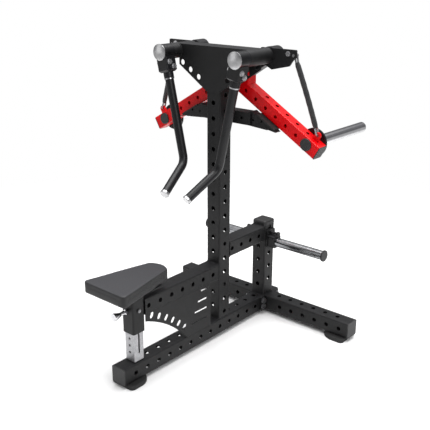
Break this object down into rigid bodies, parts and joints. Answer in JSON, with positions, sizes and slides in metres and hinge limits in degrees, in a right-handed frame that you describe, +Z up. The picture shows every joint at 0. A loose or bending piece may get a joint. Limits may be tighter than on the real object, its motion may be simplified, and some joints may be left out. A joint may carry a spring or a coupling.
{
  "type": "lat pulldown machine",
  "caption": "Plate-loaded seated lever machine: perforated tube frame, tapered seat, overhead pivots, hanging handles, angled lever arms with weight sleeves.",
  "frame": {"origin": "middle of the footprint's bounding box, on the floor under the rubber feet", "axes": "+Z up, +Y from the seat toward the upright, the way the user faces, +X to the user's right"},
  "size_m": [1.11, 1.303, 1.435],
  "materials": {
    "black_coat": "fine-textured black powder coat",
    "red_coat": "glossy red powder coat",
    "chrome": "polished chrome",
    "satin_metal": "satin silver",
    "zinc_steel": "bare zinc-plated tube",
    "bolt_steel": "zinc-plated steel",
    "black_plastic": "moulded black plastic",
    "nylon": "dark nylon",
    "rubber": "black rubber",
    "strap_sleeve": "black woven sleeve",
    "upholstery": "black upholstery vinyl"
  },
  "bodies": {
    "frame": {"base_rail": "black_coat", "cross_beam_right": "black_coat", "cross_beam_left": "black_coat", "tube_end_caps": "black_plastic", "rubber_feet": "rubber", "frame_bolts": "bolt_steel", "main_upright": "black_coat", "rear_post": "black_coat", "brace_beam": "black_coat", "seat_rail": "black_coat", "seat_gusset": "black_coat", "seat_sleeve": "black_coat", "sleeve_liner": "nylon", "pop_pin_body": "chrome", "head_front_plate": "black_coat", "head_rear_plate": "black_coat", "head_top_plate": "black_coat", "pivot_housing_right": "black_coat", "pivot_housing_left": "black_coat", "pivot_bearings": "bolt_steel", "stop_beam": "black_coat", "stop_bumpers": "rubber", "strap_hangers": "bolt_steel", "limit_strap_right": "strap_sleeve", "limit_strap_left": "strap_sleeve", "storage_peg_right": "chrome", "storage_peg_left": "chrome", "peg_flanges": "black_plastic", "peg_brackets": "black_coat", "peg_knobs": "black_plastic"},
    "lever_right": {"pivot_shaft_right": "bolt_steel", "handle_hub_right": "black_coat", "hub_cap_right": "satin_metal", "hub_bolts_right": "bolt_steel", "handle_ring_right": "chrome", "lever_link_right": "black_coat", "lever_arm_right": "red_coat", "arm_caps_right": "black_plastic", "sleeve_collar_right": "black_coat", "weight_sleeve_right": "chrome", "tab_link_right": "bolt_steel"},
    "handle_right": {"handle_bar_right": "black_coat", "handle_end_right": "satin_metal"},
    "lever_left": {"pivot_shaft_left": "bolt_steel", "handle_hub_left": "black_coat", "hub_cap_left": "satin_metal", "hub_bolts_left": "bolt_steel", "handle_ring_left": "chrome", "lever_link_left": "black_coat", "lever_arm_left": "red_coat", "arm_caps_left": "black_plastic", "sleeve_collar_left": "black_coat", "weight_sleeve_left": "chrome", "tab_link_left": "bolt_steel"},
    "handle_left": {"handle_bar_left": "black_coat", "handle_end_left": "satin_metal"},
    "seat": {"seat_post": "zinc_steel", "seat_plate": "black_coat", "seat_pad": "upholstery"},
    "lock_pin": {"pop_pin": "chrome"}
  },
  "joints": [
    {"name": "lever_swing_right", "type": "hinge", "parent": "frame", "child": "lever_right", "pos_m": [0.218, 0.0915, 1.397], "axis": [0, -1, 0], "range_deg": [0, 95], "deforming": ["limit_strap_right"]},
    {"name": "lever_swing_left", "type": "hinge", "parent": "frame", "child": "lever_left", "pos_m": [-0.218, 0.0915, 1.397], "axis": [0, 1, 0], "range_deg": [0, 95], "deforming": ["limit_strap_left"]},
    {"name": "handle_swivel_right", "type": "hinge", "parent": "lever_right", "child": "handle_right", "pos_m": [0.19166, -0.0335, 1.28198], "axis": [-0.2233, 0, -0.9748], "range_deg": [-40, 40]},
    {"name": "handle_swivel_left", "type": "hinge", "parent": "lever_left", "child": "handle_left", "pos_m": [-0.19166, -0.0335, 1.28198], "axis": [0.2233, 0, -0.9748], "range_deg": [-40, 40]},
    {"name": "seat_height", "type": "slide", "parent": "frame", "child": "seat", "axis": [0, 0, 1], "range_m": [0, 0.204]},
    {"name": "pin_travel", "type": "slide", "parent": "frame", "child": "lock_pin", "axis": [0, 1, 0], "range_m": [-0.012, 0.007]}
  ]
}
